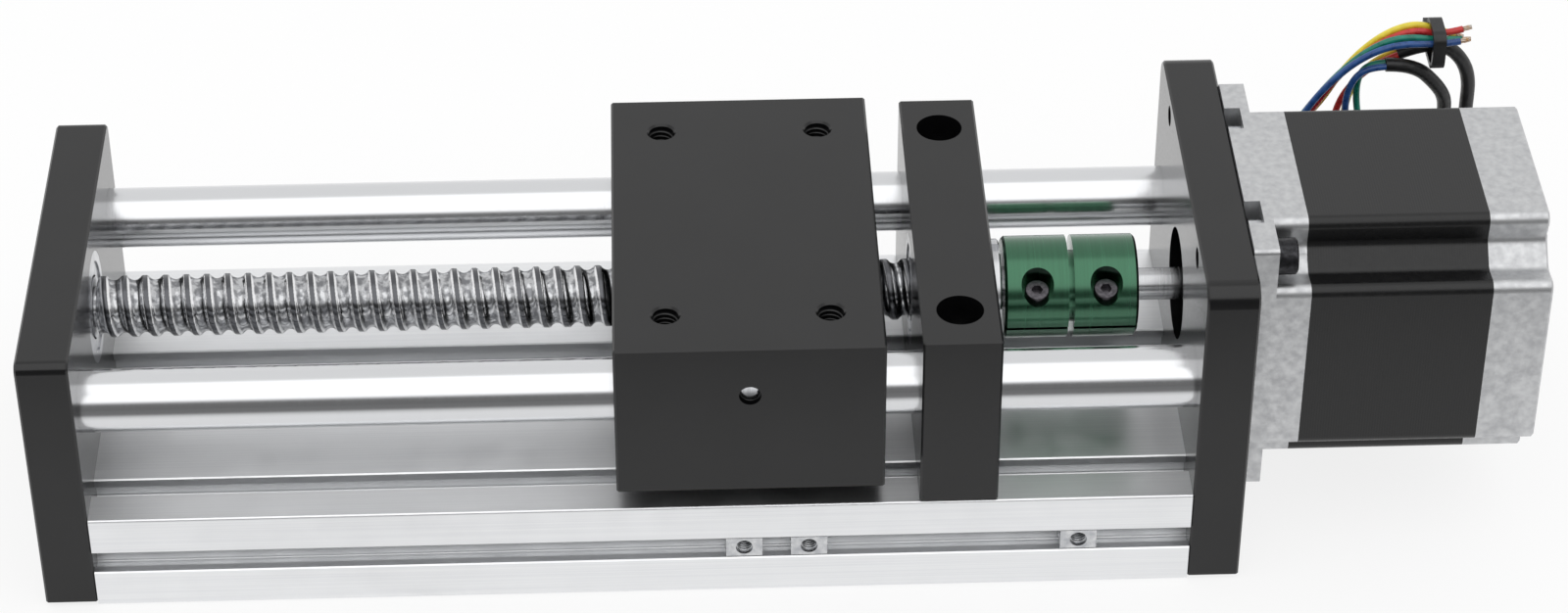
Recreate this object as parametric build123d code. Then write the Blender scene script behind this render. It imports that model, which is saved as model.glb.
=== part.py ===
import math
import os

from build123d import *

# A ball screw linear module: a T-slot base between two end plates, two guide rods, a ball screw with its
# bearing block and coupling, a carriage, and a stepper motor with its leads. Millimetres, +Z up.
# The origin is the centre of the base's underside. +X points at the motor and -Y is the front.

# Base extrusion
base_length = 211.0
base_width = 80.0
base_height = 21.0
slot_mouth = 4.7
slot_lip = 1.8
slot_width = 8.0
slot_depth = 5.3
slot_edge = 0.25
slot_corner = 0.5
base_corner = 0.5
chamber_width = 6.0
chamber_height = 11.0
core_bore = 5.1

# End plates
plate_thickness = 10.0
plate_lift = 0.5
idler_plate_rise = 16.5
motor_plate_rise = 27.6
idler_plate_round = 2.0
motor_plate_round = 4.0
edge_break = 0.4

# Guide rods and the line of the screw
axis_height = 42.0
rod_diameter = 12.0
rod_seat = 5.0

# Ball screw
screw_diameter = 12.0
journal_diameter = 8.0
idler_shoulder_gap = 0.6
lock_nut_diameter = 19.0
lock_nut_thickness = 2.0
lock_nut_hub = 0.5
lock_notch_width = 3.0
lock_notch_depth = 1.0

# Ball bearings on the screw
bearing_diameter = 22.0
bearing_width = 7.0
bearing_wall = 2.0
shield_thickness = 0.8
bearing_relief = 19.0

# Bearing block
block_thickness = 15.0
block_rise = 17.4
block_to_motor_plate = 37.5
block_pocket = 9.0
block_pocket_depth = 6.5
block_screw_depth = 8.0

# Carriage, at the place where it stands at rest
carriage_length = 51.0
carriage_overhang = 1.0
carriage_rise = 17.8
carriage_drop = 16.2
carriage_to_block = 6.8
carriage_hole = 5.0
carriage_hole_depth = 5.5
carriage_hole_pitch = 31.0
carriage_hole_edge = 11.0
front_hole = 4.2
front_hole_depth = 4.0
front_hole_rise = 6.7

# Linear bearings in the carriage
linear_bearing_diameter = 21.0
linear_bearing_length = 30.0
linear_bearing_wall = 1.0
end_groove_inset = 3.0
end_groove_depth = 0.6
ring_thickness = 1.0
ring_depth = 1.0
ring_height = 1.8
ring_gap_angle = 70.0

# Ball nut
nut_diameter = 22.0
nut_length = 35.0
nut_flange_diameter = 36.0
nut_flange_height = 28.0
nut_flange_thickness = 8.0
nut_screw_angle = 30.0

# Coupling
coupling_diameter = 20.0
coupling_length = 26.0
coupling_gap = 0.6
coupling_groove = 1.1
coupling_groove_depth = 3.0
coupling_slit = 0.8
coupling_pocket = 6.3
coupling_pocket_floor = 4.2
coupling_screw_rise = 5.4
coupling_screw_inset = 6.3
coupling_edge = 0.5
coupling_turn = 109.0

# Motor
motor_size = 56.4
motor_flange = 4.8
front_bell_end = 11.5
rear_bell_start = 46.0
motor_length = 57.4
motor_flat = 38.2
motor_notch = 22.4
notch_taper = 0.6
motor_fillet = 1.9
motor_bolt_spacing = 47.14
flange_corner = 1.0
flange_hole = 5.1
pilot_diameter = 38.1
pilot_height = 1.6
motor_shaft_diameter = 6.35
motor_bearing_diameter = 19.0
motor_bearing_width = 6.0
motor_bearing_wall = 1.6
rotor_diameter = 30.0
rotor_length = 31.0
rotor_air_gap = 0.4
tie_screw_half_pitch = 15.6
tie_screw_offset = 24.6
tie_notch_width = 7.0
tie_notch_depth = 3.0
tie_notch_height = 6.2

# Fasteners, by thread diameter
plate_screw = 5.0
plate_screw_length = 20.0
rod_screw = 5.0
rod_screw_length = 18.0
block_screw = 5.0
nut_screw = 3.0
nut_screw_length = 12.0
coupling_screw = 2.5
coupling_screw_length = 9.5
motor_screw = 4.0
motor_screw_pocket = 9.1
tie_screw = 3.0
set_screw = 6.0

# Nuts in the front slot
slot_nut_length = 7.0
slot_nut_bore = 3.3
slot_nut_places = (19.4, 31.9, 83.9)

# Leads
sleeve_diameter = 2.9
wire_diameter = 1.4
sleeve_pitch = 4.8
grommet_length = 9.2
grommet_height = 7.0
grommet_stand = 2.0
grommet_drop = 8.0
grommet_place = 51.3
tie_width = 2.6
tie_thickness = 1.0
tie_lock = 3.4
tie_round = 1.4
tie_middle_x = 161.4
tie_inside_y = (40.5, 47.6)
tie_inside_z = (64.7, 71.2)

# Clearances
fit_gap = 0.05
running_gap = 0.05
free_gap = 0.3
hole_gap = 0.25

# Sizes worked out from the sizes above
slot_pitch = base_width / 4
carriage_width = base_width + 2 * carriage_overhang
rod_spacing = carriage_width - linear_bearing_diameter - 2 * linear_bearing_wall
hole_spacing = carriage_width - 2 * carriage_hole_edge

# Places worked out from the sizes above
idler_plate_top = axis_height + idler_plate_rise
motor_plate_top = axis_height + motor_plate_rise
block_top = axis_height + block_rise
carriage_top = axis_height + carriage_rise
carriage_bottom = axis_height - carriage_drop
idler_face = -base_length / 2
motor_face = base_length / 2
motor_mount = motor_face + plate_thickness
block_end = motor_face - block_to_motor_plate
block_start = block_end - block_thickness
block_middle = (block_start + block_end) / 2
carriage_end = block_start - carriage_to_block
carriage_start = carriage_end - carriage_length
carriage_middle = (carriage_start + carriage_end) / 2
rod_offset = rod_spacing / 2
nut_screw_circle = (nut_diameter + nut_flange_diameter) / 2
nut_flange_face = carriage_end - free_gap
lock_nut_end = block_end + lock_nut_hub + lock_nut_thickness
coupling_start = lock_nut_end + coupling_gap
coupling_end = coupling_start + coupling_length
coupling_middle = (coupling_start + coupling_end) / 2
shaft_start = coupling_middle + coupling_gap
slot_offsets = [slot_pitch * step for step in (-1.5, -0.5, 0.5, 1.5)]
motor_bolt = motor_bolt_spacing / 2
corners = [(y, z) for y in (-1, 1) for z in (-1, 1)]
screwed_corners = [(-1, 1), (1, -1)]


# Basic shapes
def block(x, y, z):
    """A box between two limits along each axis."""
    middle = [(low + high) / 2 for low, high in (x, y, z)]
    return Pos(*middle) * Box(x[1] - x[0], y[1] - y[0], z[1] - z[0])


def along_x(start, end, diameter, y=0.0, z=axis_height):
    """A round bar along X."""
    return Pos((start + end) / 2, y, z) * Rot(0, 90, 0) * Cylinder(diameter / 2, end - start)


def along_y(start, end, diameter, x, z):
    """A round bar along Y."""
    return Pos(x, (start + end) / 2, z) * Rot(90, 0, 0) * Cylinder(diameter / 2, end - start)


def along_z(start, end, diameter, x, y):
    """A round bar along Z."""
    return Pos(x, y, (start + end) / 2) * Cylinder(diameter / 2, end - start)


def ring_x(start, end, outer, inner, y=0.0, z=axis_height):
    """A round sleeve along X."""
    return along_x(start, end, outer, y, z) - along_x(start - 1, end + 1, inner, y, z)


def cap_screw(thread, length):
    """A socket cap screw: its head stands on the XY plane and its shank points down."""
    head = 1.5 * thread + 1
    screw = along_z(0, thread, head, 0, 0) + along_z(-length, 0, thread, 0, 0)
    screw = chamfer(screw.edges().filter_by(GeomType.CIRCLE).group_by(Axis.Z)[-1], 0.08 * thread)
    return screw - extrude(RegularPolygon(0.8 * thread / math.sqrt(3), 6), 0.55 * thread).moved(Pos(0, 0, 0.45 * thread))


def flat_screw(thread, length):
    """A countersunk socket screw: its top is flush with the XY plane and its shank points down."""
    screw = along_z(-length, 0, thread, 0, 0) + Pos(0, 0, -0.3 * thread) * Cone(thread / 2, thread, 0.6 * thread)
    return screw - extrude(RegularPolygon(0.6 * thread / math.sqrt(3), 6), 0.4 * thread).moved(Pos(0, 0, -0.4 * thread))


def countersink(thread, depth):
    """The cut for a countersunk screw: a cone, and a clearance hole down to the depth."""
    reach = free_gap / 2
    cone = Pos(0, 0, -0.3 * thread + reach / 2) * Cone(thread / 2 + fit_gap, thread + fit_gap + reach, 0.6 * thread + reach)
    return cone + along_z(-depth, 1, thread + 2 * hole_gap, 0, 0)


def facing(x, y, z, direction):
    """Turns a screw that points down so that its head faces the direction, and puts it in its place."""
    turn = {"+X": (0, 90, 0), "-X": (0, -90, 0), "+Y": (-90, 0, 0), "-Y": (90, 0, 0), "+Z": (0, 0, 0), "-Z": (180, 0, 0)}
    return Pos(x, y, z) * Rot(*turn[direction])


def softened(solid, size=edge_break):
    """Breaks the outer edges of a plate or block."""
    box = solid.bounding_box()
    limits = [(box.min.X, box.max.X), (box.min.Y, box.max.Y), (box.min.Z, box.max.Z)]

    def outer(edge):
        middle = edge.center()
        near = [min(abs(value - low), abs(value - high)) < 0.01 for value, (low, high) in zip(middle, limits)]
        return sum(near) >= 2

    return chamfer([edge for edge in solid.edges() if outer(edge)], size)


# Base extrusion
def slot_section():
    """One slot's section, with its mouth on the X axis and its floor above it."""
    half, wide = slot_mouth / 2, slot_mouth / 2 + slot_edge
    mouth = Polygon(
        (-wide, 0), (wide, 0), (half, slot_edge), (half, slot_lip + 0.001), (-half, slot_lip + 0.001), (-half, slot_edge),
        align=None,
    )
    floor = (slot_lip + slot_depth) / 2
    return mouth + Pos(0, floor) * RectangleRounded(slot_width, slot_depth - slot_lip, slot_corner)


def base_extrusion():
    middle = base_height / 2
    section = Pos(0, middle) * RectangleRounded(base_width, base_height, base_corner)
    for y in slot_offsets:
        section -= Pos(y, 0) * slot_section()
        section -= Pos(y, base_height) * Rot(0, 0, 180) * slot_section()
        section -= Pos(y, middle) * Circle(core_bore / 2)
    section -= Pos(base_width / 2, middle) * Rot(0, 0, 90) * slot_section()
    section -= Pos(-base_width / 2, middle) * Rot(0, 0, -90) * slot_section()
    for y in (-slot_pitch, 0, slot_pitch):
        section -= Pos(y, middle) * RectangleRounded(chamber_width, chamber_height, 1.0)
    profile = extrude(Plane.YZ.offset(idler_face) * section, base_length)
    head = 1.5 * block_screw + 1 + 2 * hole_gap
    for y in block_screw_places():
        profile -= along_z(-1, slot_depth, head, block_middle, y)
        profile -= along_z(0, base_height + 1, block_screw + 2 * hole_gap, block_middle, y)
    return profile


def block_screw_places():
    """The bearing block is held from below, through the two slots nearest the screw."""
    return (slot_offsets[1], slot_offsets[2])


# End plates
def plate_blank(start, top, rounding):
    plate = block((start, start + plate_thickness), (-base_width / 2, base_width / 2), (plate_lift, top))
    top_edges = plate.edges().filter_by(Axis.X).group_by(Axis.Z)[-1]
    plate = fillet(top_edges, rounding)
    return softened(plate)


def drill_plate(plate, outside, inside, direction):
    """Cuts the rod seats and the screw holes that both end plates have."""
    inwards = 1 if inside > outside else -1
    head = 1.5 * plate_screw + 1
    for y in slot_offsets:
        seat = outside + inwards * (plate_screw + free_gap)
        plate -= along_x(min(outside - inwards, seat), max(outside - inwards, seat), head + 2 * hole_gap, y, base_height / 2)
        plate -= along_x(min(outside, inside) - 1, max(outside, inside) + 1, plate_screw + 2 * hole_gap, y, base_height / 2)
    for y in (-rod_offset, rod_offset):
        seat = inside - inwards * rod_seat
        plate -= along_x(min(seat, inside + inwards), max(seat, inside + inwards), rod_diameter + 2 * fit_gap, y)
        plate -= facing(outside, y, axis_height, direction) * countersink(rod_screw, plate_thickness)
    return plate


def idler_plate():
    plate = plate_blank(idler_face - plate_thickness, idler_plate_top, idler_plate_round)
    plate = drill_plate(plate, idler_face - plate_thickness, idler_face, "-X")
    plate -= along_x(idler_face - bearing_width, idler_face + 1, bearing_diameter + 2 * fit_gap)
    return plate - along_x(idler_face - plate_thickness - 1, idler_face, bearing_relief - 2)


def motor_plate():
    plate = plate_blank(motor_face, motor_plate_top, motor_plate_round)
    plate = drill_plate(plate, motor_mount, motor_face, "+X")
    plate -= along_x(motor_face - 1, motor_mount, bearing_diameter + 2 * fit_gap)
    plate -= along_x(motor_mount - pilot_height - free_gap, motor_mount + 1, pilot_diameter + 2 * hole_gap)
    for y, z in corners:
        hole = motor_screw + 2 * fit_gap
        plate -= along_x(motor_face - 1, motor_mount + 1, hole, y * motor_bolt, axis_height + z * motor_bolt)
    return plate


def plate_screws(outside, direction):
    inwards = 1 if direction == "-X" else -1
    screw = cap_screw(plate_screw, plate_screw_length)
    head_seat = outside + inwards * (plate_screw + free_gap)
    return [facing(head_seat, y, base_height / 2, direction) * screw for y in slot_offsets]


def rod_screws(outside, direction):
    screw = flat_screw(rod_screw, rod_screw_length)
    return [facing(outside, y, axis_height, direction) * screw for y in (-rod_offset, rod_offset)]


# Guide rods
def guide_rod(y):
    start = idler_face - rod_seat
    end = motor_face + rod_seat
    rod = along_x(start, end, rod_diameter, y)
    rod = chamfer(rod.edges().filter_by(GeomType.CIRCLE), 0.6)
    bore = rod_screw + 2 * fit_gap
    rod -= along_x(start - 1, start + rod_screw_length, bore, y)
    return rod - along_x(end - rod_screw_length, end + 1, bore, y)


# Bearings: the outer ring carries its two shields, and the inner ring turns with its shaft
def bearing_outer(start, width, outer, wall, bore):
    inner_ring = bore + 2 * wall
    ring = ring_x(start, start + width, outer, outer - 2 * wall)
    for place in (start + free_gap, start + width - shield_thickness - free_gap):
        ring += ring_x(place, place + shield_thickness, outer - wall, inner_ring + 2 * free_gap)
    return ring


def bearing_inner(start, width, bore, wall):
    return ring_x(start, start + width, bore + 2 * wall, bore + 2 * fit_gap)


def block_bearing_places():
    return (block_start, block_end - bearing_width)


# Bearing block
def bearing_block():
    body = block((block_start, block_end), (-base_width / 2, base_width / 2), (base_height, block_top))
    body = softened(body)
    body -= along_x(block_start - 1, block_end + 1, bearing_relief)
    for start, end in ((block_start - 1, block_start + bearing_width), (block_end - bearing_width, block_end + 1)):
        body -= along_x(start, end, bearing_diameter + 2 * fit_gap)
    for y in (-rod_offset, rod_offset):
        body -= along_x(block_start - 1, block_end + 1, rod_diameter + 2 * fit_gap, y)
    for y in block_hole_places():
        body -= along_z(block_top - block_pocket_depth, block_top + 1, block_pocket, block_middle, y)
        body -= along_z(axis_height, block_top, set_screw + 2 * fit_gap, block_middle, y)
    for y in block_screw_places():
        body -= along_z(base_height - 1, base_height + block_screw_depth, block_screw + 2 * fit_gap, block_middle, y)
    return body


def block_hole_places():
    return (-hole_spacing / 2, hole_spacing / 2)


def block_screws():
    """Screws from below, with their heads inside the slots of the base."""
    length = base_height - slot_depth + block_screw_depth - 1
    screw = cap_screw(block_screw, length)
    return [facing(block_middle, y, slot_depth, "-Z") * screw for y in block_screw_places()]


def rod_set_screws():
    """Set screws that grip the rods in the bearing block."""
    top = block_top - block_pocket_depth - free_gap
    screws = []
    for y in block_hole_places():
        side = abs(abs(y) - rod_offset)
        tip = axis_height + math.sqrt((rod_diameter / 2) ** 2 - side ** 2) + free_gap
        screw = along_z(tip, top, set_screw, block_middle, y)
        socket = extrude(RegularPolygon(set_screw / 4, 6), top - tip).moved(Pos(block_middle, y, (top + tip) / 2))
        screws.append(screw - socket)
    return screws


# Carriage
def ring_places():
    """Where the retaining rings stand, just outside the two ends of a linear bearing."""
    reach = linear_bearing_length / 2
    return (carriage_middle - reach - ring_thickness, carriage_middle + reach)


def carriage_block():
    body = block(
        (carriage_start, carriage_end),
        (-carriage_width / 2, carriage_width / 2),
        (carriage_bottom, carriage_top),
    )
    body = softened(body)
    body -= along_x(carriage_start - 1, carriage_end + 1, nut_diameter + 2 * fit_gap)
    body -= nut_flange(nut_flange_face - nut_flange_thickness, carriage_end + 1, free_gap)
    for y in (-rod_offset, rod_offset):
        body -= along_x(carriage_start - 1, carriage_end + 1, linear_bearing_diameter + 2 * fit_gap, y)
        for place in ring_places():
            groove = linear_bearing_diameter + 2 * ring_depth
            body -= along_x(place, place + ring_thickness + fit_gap, groove, y)
    for x in (-carriage_hole_pitch / 2, carriage_hole_pitch / 2):
        for y in (-hole_spacing / 2, hole_spacing / 2):
            at = (carriage_middle + x, y)
            body -= along_z(carriage_top - carriage_hole_depth, carriage_top + 1, carriage_hole, *at)
            mouth = carriage_hole / 2 + edge_break
            body -= Pos(*at, carriage_top - edge_break / 2) * Cone(carriage_hole / 2, mouth, edge_break)
    front = -carriage_width / 2
    hole_height = axis_height + front_hole_rise
    body -= along_y(front - 1, front + front_hole_depth, front_hole, carriage_middle, hole_height)
    for y, z in nut_screw_places():
        seat = nut_flange_face - nut_flange_thickness
        body -= along_x(seat - nut_screw_length, seat + 1, nut_screw + 2 * fit_gap, y, z)
    return body


def linear_bearing(y):
    """A steel sleeve with a groove near each end."""
    start = carriage_middle - linear_bearing_length / 2
    end = carriage_middle + linear_bearing_length / 2
    bore = rod_diameter + 2 * running_gap
    sleeve = ring_x(start, end, linear_bearing_diameter, bore, y)
    core = linear_bearing_diameter - end_groove_depth
    for side in (start + end_groove_inset, end - end_groove_inset - ring_thickness):
        sleeve -= ring_x(side, side + ring_thickness, linear_bearing_diameter + 1, core, y)
    return sleeve


def retaining_ring(x, y):
    """A spring ring, open at the bottom, that holds a linear bearing in its bore."""
    outer = linear_bearing_diameter + 2 * ring_depth - 2 * fit_gap
    ring = ring_x(x + fit_gap / 2, x + ring_thickness, outer, linear_bearing_diameter - 2 * ring_height, y)
    half = math.radians(ring_gap_angle / 2)
    reach = linear_bearing_diameter
    gap = Polygon(
        (0, 0), (reach * math.sin(half), -reach * math.cos(half)), (-reach * math.sin(half), -reach * math.cos(half)),
        align=None,
    )
    return ring - extrude(Plane.YZ.offset(x - 1) * Pos(y, axis_height) * gap, ring_thickness + 2)


# Ball nut
def nut_flange(start, end, grow=0.0):
    """The nut's flange: a disc with its top and bottom cut flat."""
    disc = along_x(start, end, nut_flange_diameter + 2 * grow)
    half = nut_flange_height / 2 + grow
    reach = nut_flange_diameter
    return disc & block((start, end), (-reach, reach), (axis_height - half, axis_height + half))


def nut_screw_places():
    radius = nut_screw_circle / 2
    angle = math.radians(nut_screw_angle)
    return [(y * radius * math.cos(angle), axis_height + z * radius * math.sin(angle)) for y, z in corners]


def ball_nut():
    flange_start = nut_flange_face - nut_flange_thickness
    nut = nut_flange(flange_start, nut_flange_face)
    nut += along_x(nut_flange_face - nut_length, nut_flange_face, nut_diameter)
    nut -= along_x(nut_flange_face - nut_length - 1, nut_flange_face + 1, screw_diameter + 2 * running_gap)
    head = 1.5 * nut_screw + 1 + 2 * hole_gap
    for y, z in nut_screw_places():
        nut -= along_x(flange_start - 1, nut_flange_face + 1, nut_screw + 2 * hole_gap, y, z)
        nut -= along_x(nut_flange_face - nut_screw, nut_flange_face + 1, head, y, z)
    return nut


def nut_screws():
    screw = cap_screw(nut_screw, nut_screw_length)
    return [facing(nut_flange_face - nut_screw, y, z, "+X") * screw for y, z in nut_screw_places()]


# Ball screw: a long threaded shaft with a journal at each end
def ball_screw():
    start = idler_face + idler_shoulder_gap
    shaft = along_x(start, block_start, screw_diameter)
    shaft = chamfer(shaft.edges().filter_by(GeomType.CIRCLE), 1.0)
    shaft += along_x(idler_face - bearing_width, start + 1, journal_diameter)
    return shaft + along_x(block_start - 1, coupling_middle - coupling_gap, journal_diameter)


def lock_nut():
    """The ring nut that clamps the inner rings against the screw's shoulder."""
    hub = ring_x(block_end, block_end + lock_nut_hub, journal_diameter + 2 * bearing_wall, journal_diameter + 2 * fit_gap)
    disc = ring_x(block_end + lock_nut_hub, lock_nut_end, lock_nut_diameter, journal_diameter + 2 * fit_gap)
    disc = chamfer(disc.edges().filter_by(GeomType.CIRCLE).sort_by(SortBy.RADIUS)[-2:], 0.3)
    nut = hub + disc
    radius = lock_nut_diameter / 2
    half = lock_notch_width / 2
    notch = block((block_end, lock_nut_end + 1), (-half, half), (radius - lock_notch_depth, radius + 1))
    for turn in (0, 90, 180, 270):
        nut -= Pos(0, 0, axis_height) * Rot(turn, 0, 0) * notch
    return nut


# Coupling
def coupling_screw_places():
    return (coupling_start + coupling_screw_inset, coupling_end - coupling_screw_inset)


def coupling():
    body = along_x(coupling_start, coupling_end, coupling_diameter)
    body = chamfer(body.edges().filter_by(GeomType.CIRCLE), coupling_edge)
    half_groove = coupling_groove / 2
    core = coupling_diameter - 2 * coupling_groove_depth
    body -= ring_x(coupling_middle - half_groove, coupling_middle + half_groove, coupling_diameter + 1, core)
    body -= along_x(coupling_start - 1, coupling_middle, journal_diameter + 2 * fit_gap)
    body -= along_x(coupling_middle, coupling_end + 1, motor_shaft_diameter + 2 * fit_gap)
    radius = coupling_diameter / 2
    for start, end in ((coupling_start - 1, coupling_middle - half_groove), (coupling_middle + half_groove, coupling_end + 1)):
        body -= block((start, end), (-coupling_slit / 2, coupling_slit / 2), (axis_height, axis_height + radius + 1))
    height = axis_height + coupling_screw_rise
    for x in coupling_screw_places():
        body -= along_y(coupling_pocket_floor, radius + 1, coupling_pocket, x, height)
        body -= along_y(-coupling_screw_reach() - free_gap, radius, coupling_screw + 2 * fit_gap, x, height)
    return turned_coupling(body)


def turned_coupling(piece):
    """Turns a piece of the coupling round the screw's axis, from its slit on top to where it stands at rest."""
    return Pos(0, 0, axis_height) * Rot(coupling_turn, 0, 0) * Pos(0, 0, -axis_height) * piece


def coupling_screw_reach():
    return coupling_screw_length - coupling_pocket_floor


def coupling_screws():
    screw = cap_screw(coupling_screw, coupling_screw_length)
    height = axis_height + coupling_screw_rise
    screws = [facing(x, coupling_pocket_floor, height, "+Y") * screw for x in coupling_screw_places()]
    return [turned_coupling(screw) for screw in screws]


# Motor
def motor_x(distance):
    """A place along the motor, measured from the face of its flange."""
    return motor_mount + distance


def motor_outline():
    """The section of the motor's body: a square whose corners are notched for the mounting bolts."""
    half, flat = motor_size / 2, motor_flat / 2
    inner = flat - notch_taper
    corner = [(half, flat), (motor_notch, inner), (inner, motor_notch), (flat, half)]
    points = []
    for turns in (0, 1, 2, 3):
        angle = math.radians(90 * turns)
        for y, z in corner:
            points.append((y * math.cos(angle) - z * math.sin(angle), y * math.sin(angle) + z * math.cos(angle)))
    section = Polygon(*points, align=None)
    section = fillet(section.vertices(), motor_fillet)
    return Pos(0, axis_height) * section


def motor_body(start, end):
    return extrude(Plane.YZ.offset(motor_x(start)) * motor_outline(), end - start)


def tie_screw_places():
    return [(y * tie_screw_half_pitch, axis_height + z * tie_screw_offset) for y, z in corners]


def front_bearing_start():
    return motor_x(motor_flange / 2)


def rear_bearing_start():
    return motor_x(rear_bell_start + 2)


def motor_front_bell():
    half = motor_size / 2
    flange = Pos(0, axis_height) * RectangleRounded(motor_size, motor_size, flange_corner)
    bell = extrude(Plane.YZ.offset(motor_mount) * flange, motor_flange)
    bell += motor_body(motor_flange - 1, front_bell_end)
    bell += along_x(motor_x(-pilot_height), motor_x(1), pilot_diameter)
    bell -= along_x(motor_x(-pilot_height - 1), motor_x(front_bell_end + 1), motor_shaft_diameter + 2)
    seat = front_bearing_start()
    bell -= along_x(seat, motor_x(front_bell_end + 1), motor_bearing_diameter + 2 * fit_gap)
    for y, z in corners:
        at = (y * motor_bolt, axis_height + z * motor_bolt)
        bell -= along_x(motor_x(-1), motor_x(motor_flange + 1), flange_hole, *at)
        bell -= along_x(motor_x(motor_flange), motor_x(front_bell_end + 1), motor_screw_pocket, *at)
    for y, z in tie_screw_places():
        bell -= along_x(motor_x(0), motor_x(front_bell_end + 1), tie_screw + 2 * hole_gap, y, z)
        side = 1 if z > axis_height else -1
        edge = sorted((axis_height + side * (half + 1), axis_height + side * (half - tie_notch_height)))
        wide = tie_notch_width / 2
        bell -= block((motor_x(-1), motor_x(tie_notch_depth)), (y - wide, y + wide), edge)
    return bell


def motor_stack():
    stack = motor_body(front_bell_end, rear_bell_start)
    stack -= along_x(motor_x(0), motor_x(motor_length), rotor_diameter + 2 * rotor_air_gap)
    for y, z in tie_screw_places():
        stack -= along_x(motor_x(0), motor_x(motor_length), tie_screw + 2 * hole_gap, y, z)
    return stack


def motor_rear_bell():
    bell = motor_body(rear_bell_start, motor_length)
    rim = bell.edges().group_by(Axis.X)[-1]
    bell = chamfer(rim, edge_break)
    start = motor_x(rear_bell_start)
    bell -= along_x(start - 1, rear_bearing_start() + motor_bearing_width, motor_bearing_diameter + 2 * fit_gap)
    head = 1.5 * tie_screw + 1 + 2 * hole_gap
    for y, z in tie_screw_places():
        bell -= along_x(start - 1, motor_x(motor_length) + 1, tie_screw + 2 * hole_gap, y, z)
        bell -= along_x(motor_x(motor_length) - tie_screw, motor_x(motor_length) + 1, head, y, z)
    low, high = grommet_span()
    back = motor_size / 2
    return bell - block(low, (back - grommet_stand, back + 1), high)


def grommet_span():
    """The grommet's limits along X and Z, in the back of the rear bell."""
    middle_x, middle_z = motor_x(grommet_place), axis_height - grommet_drop
    half_x, half_z = grommet_length / 2, grommet_height / 2
    return (middle_x - half_x, middle_x + half_x), (middle_z - half_z, middle_z + half_z)


def lead_grommet():
    span_x, span_z = grommet_span()
    back = motor_size / 2
    body = block(span_x, (back - grommet_stand, back + grommet_stand), span_z)
    return chamfer(body.edges().group_by(Axis.Y)[-1], edge_break)


def motor_rotor():
    middle = motor_x((front_bell_end + rear_bell_start) / 2)
    half = rotor_length / 2
    return ring_x(middle - half, middle + half, rotor_diameter, motor_shaft_diameter + 2 * fit_gap)


def motor_shaft():
    end = rear_bearing_start() + motor_bearing_width - free_gap
    shaft = along_x(shaft_start, end, motor_shaft_diameter)
    return chamfer(shaft.edges().filter_by(GeomType.CIRCLE), edge_break)


def motor_screws():
    """The two screws that hold the motor, in opposite corners of its flange."""
    length = motor_flange + plate_thickness - 1
    screw = cap_screw(motor_screw, length)
    at = motor_x(motor_flange)
    return [facing(at, y * motor_bolt, axis_height + z * motor_bolt, "+X") * screw for y, z in screwed_corners]


def tie_screws():
    length = motor_length - tie_screw - 0.5
    screw = cap_screw(tie_screw, length)
    at = motor_x(motor_length - tie_screw)
    return [facing(at, y, z, "+X") * screw for y, z in tie_screw_places()]


# Nuts in the front slot
def slot_nuts():
    middle = base_height / 2
    front = -base_width / 2
    nuts = []
    for x in slot_nut_places:
        half = slot_nut_length / 2
        neck = slot_mouth / 2 - free_gap / 2
        wing = slot_width / 2 - free_gap
        inside = front + slot_lip + fit_gap
        nut = block((x - half, x + half), (front + free_gap, inside), (middle - neck, middle + neck))
        nut += block((x - half, x + half), (inside, front + slot_depth - free_gap), (middle - wing, middle + wing))
        nut -= along_y(front - 1, front + slot_depth + 1, slot_nut_bore, x, middle)
        nuts.append(nut)
    return nuts


# Leads: two sleeves come out of the grommet, and each holds two wires, which fold back to the tie.
# Each route is a list of points chosen by hand, in the module's own frame
sleeve_back = motor_size / 2 + grommet_stand
sleeve_height = axis_height - grommet_drop
inner_sleeve_x = motor_x(grommet_place) - sleeve_pitch / 2
outer_sleeve_x = motor_x(grommet_place) + sleeve_pitch / 2
inner_sleeve_route = [
    (inner_sleeve_x, sleeve_back, sleeve_height), (inner_sleeve_x, 38.2, sleeve_height),
    (164.3, 43.9, 39.7), (164.5, 44.4, 47.7), (164.6, 43.4, 54.2), (162.5, 42.6, 58.5), (157.1, 42.2, 64.1),
    (151.3, 42.2, 64.1),
]
outer_sleeve_route = [
    (outer_sleeve_x, sleeve_back, sleeve_height), (outer_sleeve_x, 38.6, sleeve_height),
    (169.2, 44.8, 40.2), (169.6, 46.2, 50.0), (169.4, 45.8, 59.4), (165.4, 45.4, 65.7), (159.6, 45.3, 67.2),
    (154.2, 45.3, 64.8),
]
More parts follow.
